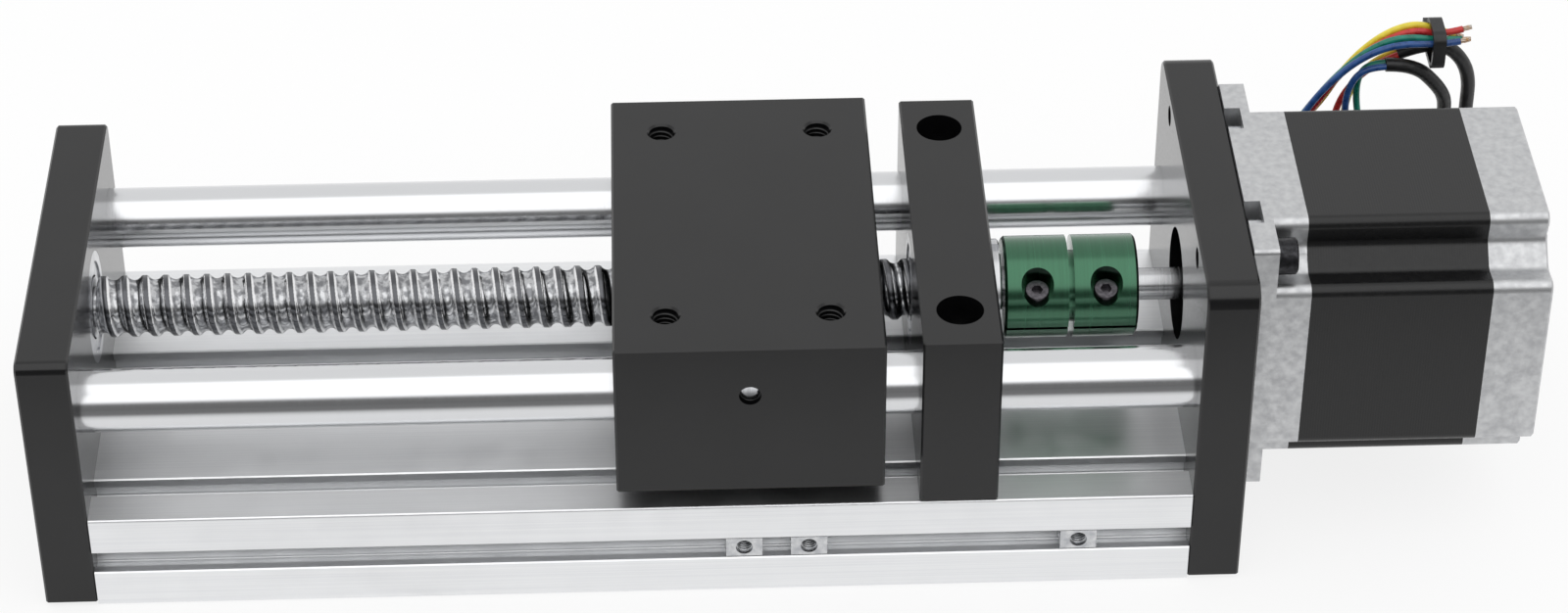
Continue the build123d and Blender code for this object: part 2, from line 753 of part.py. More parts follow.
wire_routes = {
    "lead_blue": [
        (151.3, 41.45, 64.1), (147.7, 41.45, 63.9), (144.9, 41.4, 61.4), (143.6, 41.4, 56.6),
        (144.2, 41.3, 49.2), (147.4, 41.2, 41.0), (153.6, 41.2, 33.0), (160.6, 41.2, 25.4),
        (164.8, 41.2, 16.2), (162.2, 41.2, 6.8), (153.4, 41.2, 1.8), (143.0, 41.2, 1.3), (132.8, 41.2, 3.8),
        (127.8, 41.2, 12.4), (127.2, 41.2, 24.6), (129.4, 41.2, 36.6), (132.6, 41.2, 47.0),
        (136.2, 41.3, 54.8), (140.2, 41.3, 60.6), (145.8, 41.4, 66.2), (152.8, 41.5, 69.5),
        (162.4, 41.6, 69.1), (165.8, 41.6, 69.8),
    ],
    "lead_green": [
        (151.3, 42.95, 64.1), (148.5, 42.95, 63.9), (146.4, 42.95, 61.8), (145.9, 42.95, 57.6),
        (146.8, 43.0, 51.0), (149.0, 43.0, 44.0), (153.4, 43.0, 36.4), (159.2, 43.0, 29.0),
        (165.0, 43.0, 20.8), (166.4, 43.0, 11.4), (161.8, 43.0, 3.8), (152.8, 43.0, 1.4),
        (142.8, 43.0, 1.2), (133.2, 43.0, 3.2), (127.2, 43.0, 11.2), (126.2, 43.0, 23.4),
        (128.6, 43.0, 35.8), (132.6, 43.0, 46.6), (137.4, 43.0, 55.0), (142.0, 43.1, 61.4),
        (147.4, 43.1, 67.0), (153.8, 43.2, 70.2), (162.4, 43.2, 69.1), (166.4, 43.2, 69.2),
    ],
    "lead_red": [
        (154.2, 44.55, 64.8), (150.4, 44.6, 63.1), (146.2, 44.7, 59.4), (142.8, 44.7, 53.6),
        (141.8, 44.7, 45.2), (144.6, 44.7, 36.4), (151.0, 44.7, 28.8), (158.4, 44.7, 21.6),
        (162.6, 44.7, 12.6), (159.6, 44.7, 4.4), (150.6, 44.7, 1.3), (140.4, 44.7, 1.2), (131.6, 44.7, 4.2),
        (127.4, 44.7, 13.2), (127.4, 44.7, 25.2), (130.2, 44.7, 36.6), (134.0, 44.7, 45.4),
        (138.0, 44.7, 52.6), (141.6, 44.8, 58.6), (146.0, 44.8, 64.2), (151.4, 44.8, 68.4),
        (157.2, 44.8, 70.7), (162.4, 44.8, 69.3), (166.8, 44.8, 70.6),
    ],
    "lead_yellow": [
        (154.2, 46.05, 64.8), (150.6, 46.1, 63.2), (147.2, 46.3, 59.4), (144.8, 46.4, 53.4),
        (144.4, 46.4, 45.0), (148.0, 46.4, 36.6), (154.6, 46.4, 28.8), (161.4, 46.4, 20.8),
        (164.4, 46.4, 11.4), (159.8, 46.4, 3.6), (150.4, 46.4, 1.2), (139.8, 46.4, 1.4), (130.6, 46.4, 3.8),
        (126.0, 46.4, 12.2), (126.0, 46.4, 24.4), (129.2, 46.4, 36.2), (134.0, 46.4, 45.4),
        (139.6, 46.4, 52.4), (143.0, 46.4, 59.4), (147.2, 46.4, 65.2), (152.2, 46.4, 69.4),
        (157.6, 46.4, 71.2), (162.4, 46.4, 69.4), (165.6, 46.4, 68.3),
    ],
}


def lead(name, route, diameter):
    """A tube along straight runs joined by the largest arcs that the runs allow."""
    points = [Vector(*point) for point in route]
    radii = []
    for before, corner, after in zip(points, points[1:], points[2:]):
        coming, going = corner - before, after - corner
        half_turn = math.radians(coming.get_angle(going)) / 2
        radii.append(0.45 * min(coming.length, going.length) / math.tan(half_turn))
    path = FilletPolyline(*points, radius=radii)
    tube = sweep(Plane(path @ 0, z_dir=path % 0) * Circle(diameter / 2), path)
    full = math.pi * diameter ** 2 / 4 * path.length
    print(f"{name}: length {path.length:.0f}, volume ratio {tube.volume / full:.4f},",
          "radii", [round(radius, 1) for radius in radii])
    return tube


def cable_tie():
    """A strap round the outer sleeve and the returning wires, with its square lock at the back."""
    centre_y = sum(tie_inside_y) / 2
    centre_z = sum(tie_inside_z) / 2
    wide = tie_inside_y[1] - tie_inside_y[0]
    tall = tie_inside_z[1] - tie_inside_z[0]
    outer = RectangleRounded(wide + 2 * tie_thickness, tall + 2 * tie_thickness, tie_round + tie_thickness)
    section = Pos(centre_y, centre_z) * (outer - RectangleRounded(wide, tall, tie_round))
    strap = extrude(Plane.YZ.offset(tie_middle_x - tie_width / 2) * section, tie_width)
    half_lock = tie_lock / 2
    lock_start = tie_inside_y[1] + tie_thickness / 2
    lock = block(
        (tie_middle_x - half_lock, tie_middle_x + half_lock),
        (lock_start, lock_start + tie_width),
        (centre_z - half_lock, centre_z + half_lock),
    )
    return strap + lock


# All nodes
def build_nodes():
    idler_bearing = idler_face - bearing_width
    nodes = {
        "base_extrusion": base_extrusion(),
        "idler_plate": idler_plate(),
        "motor_plate": motor_plate(),
        "idler_plate_screws": plate_screws(idler_face - plate_thickness, "-X"),
        "motor_plate_screws": plate_screws(motor_mount, "+X"),
        "idler_rod_screws": rod_screws(idler_face - plate_thickness, "-X"),
        "motor_rod_screws": rod_screws(motor_mount, "+X"),
        "front_guide_rod": guide_rod(-rod_offset),
        "rear_guide_rod": guide_rod(rod_offset),
        "bearing_block": bearing_block(),
        "block_screws": block_screws(),
        "rod_set_screws": rod_set_screws(),
        "slot_nuts": slot_nuts(),
        "idler_bearing_outer": bearing_outer(
            idler_bearing, bearing_width, bearing_diameter, bearing_wall, journal_diameter
        ),
        "idler_bearing_inner": bearing_inner(idler_bearing, bearing_width, journal_diameter, bearing_wall),
        "block_bearing_outers": [
            bearing_outer(start, bearing_width, bearing_diameter, bearing_wall, journal_diameter)
            for start in block_bearing_places()
        ],
        "block_bearing_inners": [
            bearing_inner(start, bearing_width, journal_diameter, bearing_wall) for start in block_bearing_places()
        ],
        "carriage_block": carriage_block(),
        "front_linear_bearing": linear_bearing(-rod_offset),
        "rear_linear_bearing": linear_bearing(rod_offset),
        "retaining_rings": [retaining_ring(x, y) for x in ring_places() for y in (-rod_offset, rod_offset)],
        "ball_nut": ball_nut(),
        "nut_screws": nut_screws(),
        "ball_screw": ball_screw(),
        "lock_nut": lock_nut(),
        "coupling": coupling(),
        "coupling_screws": coupling_screws(),
        "motor_shaft": motor_shaft(),
        "motor_rotor": motor_rotor(),
        "motor_front_bell": motor_front_bell(),
        "motor_stack": motor_stack(),
        "motor_rear_bell": motor_rear_bell(),
        "motor_bearing_outers": [
            bearing_outer(start, motor_bearing_width, motor_bearing_diameter, motor_bearing_wall, motor_shaft_diameter)
            for start in (front_bearing_start(), rear_bearing_start())
        ],
        "motor_bearing_inners": [
            bearing_inner(start, motor_bearing_width, motor_shaft_diameter, motor_bearing_wall)
            for start in (front_bearing_start(), rear_bearing_start())
        ],
        "motor_screws": motor_screws(),
        "tie_screws": tie_screws(),
        "lead_grommet": lead_grommet(),
        "lead_sleeve_inner": lead("lead_sleeve_inner", inner_sleeve_route, sleeve_diameter),
        "lead_sleeve_outer": lead("lead_sleeve_outer", outer_sleeve_route, sleeve_diameter),
        "cable_tie": cable_tie(),
    }
    for name, route in wire_routes.items():
        nodes[name] = lead(name, route, wire_diameter)
    return nodes


os.makedirs("parts", exist_ok=True)
for node, shape in build_nodes().items():
    if isinstance(shape, list):
        shape = Compound(children=shape)
    shape.label = node
    export_step(shape, f"parts/{node}.step")
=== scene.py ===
import math

import bmesh
import bpy
from mathutils import Matrix, Vector


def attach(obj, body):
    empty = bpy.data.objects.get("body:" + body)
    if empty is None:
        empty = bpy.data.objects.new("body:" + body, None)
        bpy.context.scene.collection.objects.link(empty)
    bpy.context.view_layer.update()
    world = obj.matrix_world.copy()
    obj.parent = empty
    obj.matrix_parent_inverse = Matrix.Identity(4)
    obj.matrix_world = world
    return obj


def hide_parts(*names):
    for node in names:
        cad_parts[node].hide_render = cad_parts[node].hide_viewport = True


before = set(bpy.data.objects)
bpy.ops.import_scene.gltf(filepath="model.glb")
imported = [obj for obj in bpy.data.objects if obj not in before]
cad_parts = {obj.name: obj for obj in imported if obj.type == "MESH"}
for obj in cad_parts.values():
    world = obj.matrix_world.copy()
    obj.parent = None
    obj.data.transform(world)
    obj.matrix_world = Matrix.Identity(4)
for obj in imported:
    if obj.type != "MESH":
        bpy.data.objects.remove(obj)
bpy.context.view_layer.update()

# Sizes in millimetres
MM = 0.001
AXIS_HEIGHT = 42
SCREW_RADIUS = 6.0
SCREW_LEAD = 4.0
JOURNAL_RADIUS = 4.0
SLEEVE_DIAMETER = 2.9
WIRE_DIAMETER = 1.4

# Strengths of the light
STUDIO = 0.92
OVERHEAD = 0.6
FRONT_SHADE = 0.74
# Share of the floor's glow: a white backdrop to the camera, a painted reflection to glossy rays
FLOOR_GLOW_AND_REFLECTION = 0.82


# Camera, fitted to the photograph
pitch, yaw, roll = (math.radians(angle) for angle in (37.242, 2.071, -0.021))
ahead = Vector((math.sin(yaw) * math.cos(pitch), math.cos(yaw) * math.cos(pitch), -math.sin(pitch)))
level = Vector((math.cos(yaw), -math.sin(yaw), 0))
upright = level.cross(ahead)
side = level * math.cos(roll) + upright * math.sin(roll)
top = upright * math.cos(roll) - level * math.sin(roll)
lens = bpy.data.cameras.new("camera")
lens.lens, lens.sensor_width, lens.sensor_fit = 94.908, 36, "HORIZONTAL"
lens.clip_start, lens.clip_end = 0.01, 20
camera = bpy.data.objects.new("camera", lens)
stand = Matrix.Translation(Vector((5.165, -645.379, 529.279)) * MM)
camera.matrix_world = stand @ Matrix((side, top, -ahead)).transposed().to_4x4()
bpy.context.scene.collection.objects.link(camera)
bpy.context.scene.camera = camera
bpy.context.scene.view_settings.view_transform = "Standard"


# Shapes
def piece(name, shape, body, material):
    """Makes an object from a shape in millimetres and lets it ride on a body."""
    bmesh.ops.remove_doubles(shape, verts=shape.verts, dist=0.001)
    bmesh.ops.recalc_face_normals(shape, faces=shape.faces)
    bmesh.ops.scale(shape, vec=(MM, MM, MM), verts=shape.verts)
    for face in shape.faces:
        face.smooth = True
    mesh = bpy.data.meshes.new(name)
    shape.to_mesh(mesh)
    shape.free()
    mesh.materials.append(material)
    made = bpy.data.objects.new(name, mesh)
    bpy.context.scene.collection.objects.link(made)
    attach(made, body)
    return made


def screw_thread(shape, outline, pitch, turns, steps, start, axis):
    """Winds one pitch of a thread's outline, (along, radius) pairs, round the line from start along an axis."""
    axis = Vector(axis)
    out = axis.orthogonal().normalized()
    line = [shape.verts.new(start + axis * along + out * radius) for along, radius in outline]
    edges = [shape.edges.new(pair) for pair in zip(line, line[1:])]
    bmesh.ops.spin(
        shape, geom=line + edges, cent=start, axis=axis, dvec=axis * pitch / steps,
        angle=2 * math.pi * turns, steps=round(steps * turns), use_merge=False,
    )


def rod(shape, start, end, radius, broken):
    """Adds a solid round bar between two points, with its rims broken."""
    start, end = Vector(start), Vector(end)
    along = end - start
    turn = along.to_track_quat("Z", "Y").to_matrix().to_4x4()
    made = bmesh.ops.create_cone(
        shape, cap_ends=True, segments=48, radius1=radius, radius2=radius, depth=along.length,
        matrix=Matrix.Translation((start + end) / 2) @ turn,
    )["verts"]
    edges = {edge for vert in made for edge in vert.link_edges}
    rims = [edge for edge in edges if any(len(face.verts) > 4 for face in edge.link_faces)]
    bmesh.ops.bevel(shape, geom=rims, affect="EDGES", offset=broken, segments=2, profile=0.5, material=-1)


# Materials
def linear(colour):
    """sRGB hex to Blender's linear colour."""
    parts = [int(colour[at:at + 2], 16) / 255 for at in (1, 3, 5)]
    return (*[part / 12.92 if part <= 0.04045 else ((part + 0.055) / 1.055) ** 2.4 for part in parts], 1.0)


def add(tree, kind, inputs=None, **settings):
    """Adds a node, applies its settings, and links or sets its inputs, by name or number."""
    node = tree.nodes.new(kind)
    for name, value in settings.items():
        setattr(node, name, value)
    for name, value in (inputs or {}).items():
        if isinstance(value, bpy.types.NodeSocket):
            tree.links.new(value, node.inputs[name])
        else:
            node.inputs[name].default_value = value
    return node


def surface(name, colour, metallic, rough, **settings):
    """A material with its shader, and Object coordinates in millimetres."""
    material = bpy.data.materials.new(name)
    material.use_nodes = True
    tree = material.node_tree
    shader = tree.nodes["Principled BSDF"]
    shader.inputs["Base Color"].default_value = linear(colour)
    shader.inputs["Metallic"].default_value = metallic
    shader.inputs["Roughness"].default_value = rough
    for socket, value in settings.items():
        shader.inputs[socket.replace("_", " ")].default_value = value
    place = add(tree, "ShaderNodeTexCoord").outputs["Object"]
    place = add(tree, "ShaderNodeVectorMath", {0: place, "Scale": 1 / MM}, operation="SCALE").outputs["Vector"]
    return material, tree, shader, place


def grain(tree, place, size, stretch=(1, 1, 1), detail=3.0):
    """Noise whose grains are that many millimetres, drawn out by stretch."""
    scaled = [1 / (size * part) for part in stretch]
    placed = add(tree, "ShaderNodeMapping", {"Vector": place, "Scale": scaled}).outputs["Vector"]
    return add(tree, "ShaderNodeTexNoise", {"Vector": placed, "Scale": 1.0, "Detail": detail}).outputs["Fac"]


def spread(tree, value, low, high, start=0.3, end=0.7, **settings):
    """Maps a pattern's value between two numbers."""
    limits = {"Value": value, "From Min": start, "From Max": end, "To Min": low, "To Max": high}
    return add(tree, "ShaderNodeMapRange", limits, **settings).outputs["Result"]


def tint(tree, factor, first, second):
    """Mixes a first colour, hex or socket, with a second one, hex."""
    first = linear(first) if isinstance(first, str) else first
    mixed = add(tree, "ShaderNodeMix", {"Factor": factor, 6: first, 7: linear(second)}, data_type="RGBA")
    return mixed.outputs[2]


def colours(tree, shader, pattern, first, second):
    """Base colour that goes from one hex colour to another with a pattern."""
    tree.links.new(tint(tree, spread(tree, pattern, 0, 1), first, second), shader.inputs["Base Color"])


def roughness(tree, shader, pattern, low, high, **limits):
    """Roughness that goes from one value to another with a pattern."""
    tree.links.new(spread(tree, pattern, low, high, **limits), shader.inputs["Roughness"])


def relief(tree, shader, height, depth):
    """Bump from a pattern, its depth in millimetres."""
    bump = add(tree, "ShaderNodeBump", {"Height": height, "Distance": depth * MM, "Strength": 1.0})
    tree.links.new(bump.outputs["Normal"], shader.inputs["Normal"])


# Black anodised aluminium, bead blasted: a dark satin skin that mirrors more at a low angle
black_anodised, tree, shader, place = surface(
    "black_anodised_blasted", "#0D0D0E", 0.0, 0.2, Specular_IOR_Level=0.45,
)
cloud = grain(tree, place, 14)
colours(tree, shader, cloud, "#0B0B0C", "#101011")
roughness(tree, shader, grain(tree, place, 0.6), 0.17, 0.22)
relief(tree, shader, grain(tree, place, 0.3, detail=2.0), 0.002)

# Clear anodised extrusion: pale satin aluminium with faint die lines along its length
clear_anodised, tree, shader, place = surface("clear_anodised_extrusion", "#EDEEF0", 1.0, 0.36)
lines = grain(tree, place, 0.35, stretch=(220, 1, 1), detail=2.0)
colours(tree, shader, lines, "#EAEBED", "#F1F2F3")
roughness(tree, shader, grain(tree, place, 6), 0.36, 0.44)
relief(tree, shader, lines, 0.003)

# Hard chromed shaft: a mirror with the finest grinding round it
hard_chrome, tree, shader, place = surface("hard_chromed_shaft", "#DADBDD", 1.0, 0.17)
rings = grain(tree, place, 0.25, stretch=(1, 60, 60), detail=2.0)
roughness(tree, shader, rings, 0.14, 0.20)
relief(tree, shader, rings, 0.0012)

# Ground bearing steel: bright with soft machining
bearing_steel, tree, shader, place = surface("ground_bearing_steel", "#BDBEC1", 1.0, 0.20)
marks = grain(tree, place, 0.3, stretch=(1, 30, 30), detail=2.0)
colours(tree, shader, marks, "#AEAFB2", "#C6C7CA")
roughness(tree, shader, grain(tree, place, 2.5), 0.16, 0.26)

# Ball screw steel: a painted highlight on the groove edges next to the lands, the lands' tops painted dark for
# the dark they mirror, and oily, mottled ball grooves
screw_steel, tree, shader, place = surface("ground_ball_screw_steel", "#A9A9AC", 1.0, 0.18)
from_axis = {"Vector": place, "Location": (0, 0, -AXIS_HEIGHT), "Scale": (0, 1, 1)}
from_axis = add(tree, "ShaderNodeMapping", from_axis).outputs["Vector"]
radius = add(tree, "ShaderNodeVectorMath", {0: from_axis}, operation="LENGTH").outputs["Value"]
blots = spread(tree, grain(tree, place, 1.5), 0, 1, start=0.42, end=0.6)
wet = tint(tree, blots, "#808184", "#C2C3C5")
# Painted highlight: a near-white band on the groove's edges by the lands, where they catch the light
painted_highlight_band = spread(tree, radius, 0, 1, start=5.5, end=5.72)
with_painted_highlight = tint(tree, painted_highlight_band, wet, "#F0F0F1")
# Painted dark reflection: the lands' flat tops coloured dark for the dark surroundings they mirror
painted_dark_land = spread(tree, radius, 0, 1, start=5.955, end=5.985)
tree.links.new(tint(tree, painted_dark_land, with_painted_highlight, "#5C5D60"), shader.inputs["Base Color"])
roughness(tree, shader, blots, 0.24, 0.12, start=0, end=1)

# Turned steel: fine lathe rings
turned_steel, tree, shader, place = surface("turned_steel", "#C2C3C5", 1.0, 0.22)
rings = grain(tree, place, 0.18, stretch=(1, 80, 80), detail=2.0)
colours(tree, shader, rings, "#B2B3B5", "#CBCCCE")
roughness(tree, shader, rings, 0.17, 0.28)
relief(tree, shader, rings, 0.0015)

# Black oxide screws: dull blue-black with worn, slightly brighter patches
black_oxide, tree, shader, place = surface("black_oxide_steel", "#2A2A2C", 0.85, 0.36)
worn = grain(tree, place, 0.8)
colours(tree, shader, worn, "#222224", "#3E3E41")
roughness(tree, shader, worn, 0.42, 0.28)

# Zinc plated steel: bright, a little cloudy
zinc, tree, shader, place = surface("zinc_plated_steel", "#C9CACC", 1.0, 0.26)
cloud = grain(tree, place, 1.4)
colours(tree, shader, cloud, "#B4B6BA", "#D4D5D6")
roughness(tree, shader, cloud, 0.34, 0.2)

# Raw die cast aluminium: pale grey, mottled, with a peened skin
cast_aluminium, tree, shader, place = surface("die_cast_aluminium", "#C6C7C8", 0.95, 0.46)
mottle = grain(tree, place, 1.6, detail=5.0)
colours(tree, shader, mottle, "#BCBDBF", "#CECFD0")
roughness(tree, shader, mottle, 0.5, 0.36)
relief(tree, shader, grain(tree, place, 0.9), 0.012)

# Black lacquered laminations: sheets of 0.5 mm stacked along the motor
laminated, tree, shader, place = surface(
    "black_lacquered_laminations", "#0D0D0E", 0.0, 0.3, Specular_IOR_Level=0.45,
)
sheets = add(tree, "ShaderNodeTexWave", {"Vector": place, "Scale": math.pi / 10 / 0.5}, bands_direction="X")
cloud = grain(tree, place, 1.1)
colours(tree, shader, cloud, "#0B0B0C", "#101011")
roughness(tree, shader, cloud, 0.28, 0.38)
relief(tree, shader, sheets.outputs["Fac"], 0.008)

# Green anodised aluminium, turned: a deep metallic green with fine rings under a clear oxide skin
green_anodised, tree, shader, place = surface(
    "green_anodised_turned", "#2F6046", 1.0, 0.26, Coat_Weight=0.6, Coat_Roughness=0.16, Coat_IOR=1.6,
)
rings = grain(tree, place, 0.4, stretch=(1, 80, 80), detail=2.0)
colours(tree, shader, rings, "#2C5D42", "#32664A")
roughness(tree, shader, rings, 0.21, 0.28)

# Worn steel of the coupling's screws: oxide rubbed to a warm grey
worn_steel, tree, shader, place = surface("worn_oxide_steel", "#5C5A5D", 1.0, 0.34)
worn = grain(tree, place, 0.7)
colours(tree, shader, worn, "#454346", "#6E6B70")
roughness(tree, shader, worn, 0.42, 0.28)

# Moulded rubber: matt black
rubber, tree, shader, place = surface("moulded_black_rubber", "#1A1A1A", 0.0, 0.6)
roughness(tree, shader, grain(tree, place, 0.6), 0.5, 0.7)
relief(tree, shader, grain(tree, place, 0.4), 0.02)

# Heat shrink sleeving: satin black, faintly wrinkled over the wires in it
sleeving, tree, shader, place = surface("heat_shrink_sleeving", "#141415", 0.0, 0.38)
wrinkles = grain(tree, place, 1.1)
roughness(tree, shader, wrinkles, 0.3, 0.48)
relief(tree, shader, wrinkles, 0.10)

# Nylon tie: smooth black moulding with a soft sheen
nylon, tree, shader, place = surface("moulded_black_nylon", "#121213", 0.0, 0.34)
roughness(tree, shader, grain(tree, place, 0.9), 0.28, 0.42)
relief(tree, shader, grain(tree, place, 0.5), 0.015)

# Extruded PVC insulation: glossy colour with a slight unevenness from the extruder
insulation = {}
for colour, dark, light in (
    ("blue", "#1D3F78", "#2C5A9A"), ("green", "#0F6A58", "#1B8A74"), ("red", "#B5202A", "#D23A34"),
    ("yellow", "#D9C62E", "#F0DF4E"),
):
    insulation[colour], tree, shader, place = surface("extruded_pvc_" + colour, light, 0.0, 0.3)
    streak = grain(tree, place, 1.5)
    colours(tree, shader, streak, dark, light)
    roughness(tree, shader, streak, 0.24, 0.4)
    relief(tree, shader, streak, 0.03)

# Tinned copper strand: soft bright metal
tinned, tree, shader, place = surface("tinned_copper_strand", "#C8B9A4", 1.0, 0.3)
colours(tree, shader, grain(tree, place, 0.6), "#B98F62", "#CFCBC4")

finishes = {
    "clear_anodised_aluminium": clear_anodised, "black_anodised_aluminium": black_anodised,
    "green_anodised_aluminium": green_anodised, "cast_aluminium": cast_aluminium,
    "hard_chrome_steel": hard_chrome, "bearing_steel": bearing_steel, "bright_steel": turned_steel,
    "black_oxide_steel": black_oxide, "zinc_steel": zinc, "laminated_steel": laminated,
    "black_rubber": rubber, "black_sleeving": sleeving, "black_nylon": nylon,
}
finishes.update({colour + "_insulation": finish for colour, finish in insulation.items()})
for name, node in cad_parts.items():
    for slot in node.material_slots:
        slot.material = worn_steel if name == "coupling_screws" else finishes[slot.material.name.split(".")[0]]


# Leads, along the routes that the part's own leads have
def strands(shape, end, axis):
    """Six tinned strands, twisted together, that stand 1.8 mm out of the insulation."""
    turn = axis.to_track_quat("Z", "Y").to_matrix().to_4x4()
    for strand in range(6):
        out = Matrix.Rotation(math.radians(60 * strand), 4, "Z") @ Matrix.Translation((0.32, 0, 0))
        at = Matrix.Translation(end) @ turn @ out
        ring = bmesh.ops.create_circle(shape, segments=8, radius=0.19, matrix=at)["verts"]
        ring += {edge for vert in ring for edge in vert.link_edges}
        bmesh.ops.spin(shape, geom=ring, cent=end, axis=axis, dvec=axis * 0.2, angle=math.radians(100), steps=9)
    bmesh.ops.holes_fill(shape, edges=shape.edges)


def cord(name, node, points, diameter, finish):
    """Makes a cord that stands for a node. Its bevel is 1 m, and each point's radius brings that to its own."""
    curve = bpy.data.curves.new(name, "CURVE")
    curve.dimensions = "3D"
    curve.bevel_depth = 1.0
    curve.bevel_resolution = 5
    curve.resolution_u = 8
    curve.use_fill_caps = True
    spline = curve.splines.new("NURBS")
    spline.points.add(len(points) - 1)
    for spot, point in zip(spline.points, points):
        spot.co = (*(Vector(point) * MM), 1)
        spot.radius = diameter / 2 * MM
    spline.order_u = 3
    spline.use_endpoint_u = True
    lead = bpy.data.objects.new(name, curve)
    bpy.context.scene.collection.objects.link(lead)
    curve.materials.append(finish)
    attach(lead, "frame")
    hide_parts(node)
    return lead


cord("sleeve_inner", "lead_sleeve_inner", [
    (164.4, 30.2, 34.0), (164.4, 38.2, 34.0), (164.3, 43.9, 39.7), (164.5, 44.4, 47.7), (164.6, 43.4, 54.2),
    (162.5, 42.6, 58.5), (157.1, 42.2, 64.1), (151.3, 42.2, 64.1),
], SLEEVE_DIAMETER, sleeving)
cord("sleeve_outer", "lead_sleeve_outer", [
    (169.2, 30.2, 34.0), (169.2, 38.6, 34.0), (169.2, 44.8, 40.2), (169.6, 46.2, 50.0), (169.4, 45.8, 59.4),
    (165.4, 45.4, 65.7), (159.6, 45.3, 67.2), (154.2, 45.3, 64.8),
], SLEEVE_DIAMETER, sleeving)
for colour, length, points in (
    ("blue", 187, [
        (151.3, 41.45, 64.1), (147.7, 41.45, 63.9), (144.9, 41.4, 61.4), (143.6, 41.4, 56.6),
        (144.2, 41.3, 49.2), (147.4, 41.2, 41.0), (153.6, 41.2, 33.0), (160.6, 41.2, 25.4),
        (164.8, 41.2, 16.2), (162.2, 41.2, 6.8), (153.4, 41.2, 1.8), (143.0, 41.2, 1.3), (132.8, 41.2, 3.8),
        (127.8, 41.2, 12.4), (127.2, 41.2, 24.6), (129.4, 41.2, 36.6), (132.6, 41.2, 47.0),
        (136.2, 41.3, 54.8), (140.2, 41.3, 60.6), (145.8, 41.4, 66.2), (152.8, 41.5, 69.5),
        (162.4, 41.6, 69.1), (165.8, 41.6, 69.8),
    ]),
    ("green", 189, [
        (151.3, 42.95, 64.1), (148.5, 42.95, 63.9), (146.4, 42.95, 61.8), (145.9, 42.95, 57.6),
        (146.8, 43.0, 51.0), (149.0, 43.0, 44.0), (153.4, 43.0, 36.4), (159.2, 43.0, 29.0),
        (165.0, 43.0, 20.8), (166.4, 43.0, 11.4), (161.8, 43.0, 3.8), (152.8, 43.0, 1.4),
        (142.8, 43.0, 1.2), (133.2, 43.0, 3.2), (127.2, 43.0, 11.2), (126.2, 43.0, 23.4),
        (128.6, 43.0, 35.8), (132.6, 43.0, 46.6), (137.4, 43.0, 55.0), (142.0, 43.1, 61.4),
        (147.4, 43.1, 67.0), (153.8, 43.2, 70.2), (162.4, 43.2, 69.1), (166.4, 43.2, 69.2),
    ]),
    ("red", 188, [
        (154.2, 44.55, 64.8), (150.4, 44.6, 63.1), (146.2, 44.7, 59.4), (142.8, 44.7, 53.6),
        (141.8, 44.7, 45.2), (144.6, 44.7, 36.4), (151.0, 44.7, 28.8), (158.4, 44.7, 21.6),
        (162.6, 44.7, 12.6), (159.6, 44.7, 4.4), (150.6, 44.7, 1.3), (140.4, 44.7, 1.2), (131.6, 44.7, 4.2),
        (127.4, 44.7, 13.2), (127.4, 44.7, 25.2), (130.2, 44.7, 36.6), (134.0, 44.7, 45.4),
        (138.0, 44.7, 52.6), (141.6, 44.8, 58.6), (146.0, 44.8, 64.2), (151.4, 44.8, 68.4),
        (157.2, 44.8, 70.7), (162.4, 44.8, 69.3), (166.8, 44.8, 70.6),
    ]),
    ("yellow", 189, [
        (154.2, 46.05, 64.8), (150.6, 46.1, 63.2), (147.2, 46.3, 59.4), (144.8, 46.4, 53.4),
        (144.4, 46.4, 45.0), (148.0, 46.4, 36.6), (154.6, 46.4, 28.8), (161.4, 46.4, 20.8),
        (164.4, 46.4, 11.4), (159.8, 46.4, 3.6), (150.4, 46.4, 1.2), (139.8, 46.4, 1.4), (130.6, 46.4, 3.8),
        (126.0, 46.4, 12.2), (126.0, 46.4, 24.4), (129.2, 46.4, 36.2), (134.0, 46.4, 45.4),
        (139.6, 46.4, 52.4), (143.0, 46.4, 59.4), (147.2, 46.4, 65.2), (152.2, 46.4, 69.4),
        (157.6, 46.4, 71.2), (162.4, 46.4, 69.4), (165.6, 46.4, 68.3),
    ]),
):
    end = Vector(points[-1])
    bare = bmesh.new()
    strands(bare, end, (end - Vector(points[-2])).normalized())
    tip = piece("strands_" + colour, bare, "frame", tinned)
    finish = insulation[colour]
    wire = cord("wire_" + colour, "lead_" + colour, points, WIRE_DIAMETER, finish)


# Ball screw: a right-hand ball groove with a 4 mm lead between its two journals
groove = [
    (SCREW_LEAD / 2, 5.1), (1.7, 5.14), (1.4, 5.24), (1.12, 5.42), (0.9, 5.62), (0.72, 5.84), (0.58, 5.95),
    (0.42, SCREW_RADIUS),
]
outline = [(-along, radius) for along, radius in groove] + [(0, SCREW_RADIUS)] + groove[::-1]
ball_screw = bmesh.new()
screw_thread(ball_screw, outline, SCREW_LEAD, 41, 48, Vector((-108, 0, AXIS_HEIGHT)), (1, 0, 0))
bmesh.ops.remove_doubles(ball_screw, verts=ball_screw.verts, dist=0.001)
for end, sign in ((-104.9, -1), (53.0, 1)):
    cut = bmesh.ops.bisect_plane(
        ball_screw, geom=ball_screw.verts[:] + ball_screw.edges[:] + ball_screw.faces[:],
        plane_co=(end, 0, AXIS_HEIGHT), plane_no=(sign, 0, 0), clear_outer=True,
    )["geom_cut"]
    bmesh.ops.contextual_create(ball_screw, geom=[part for part in cut if isinstance(part, bmesh.types.BMEdge)])
for start, end in ((-112.5, -104.0), (52.0, 83.0)):
    rod(ball_screw, (start, 0, AXIS_HEIGHT), (end, 0, AXIS_HEIGHT), JOURNAL_RADIUS, 0.3)
thread = piece("ball_screw_groove", ball_screw, "screw", screw_steel)
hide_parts("ball_screw")


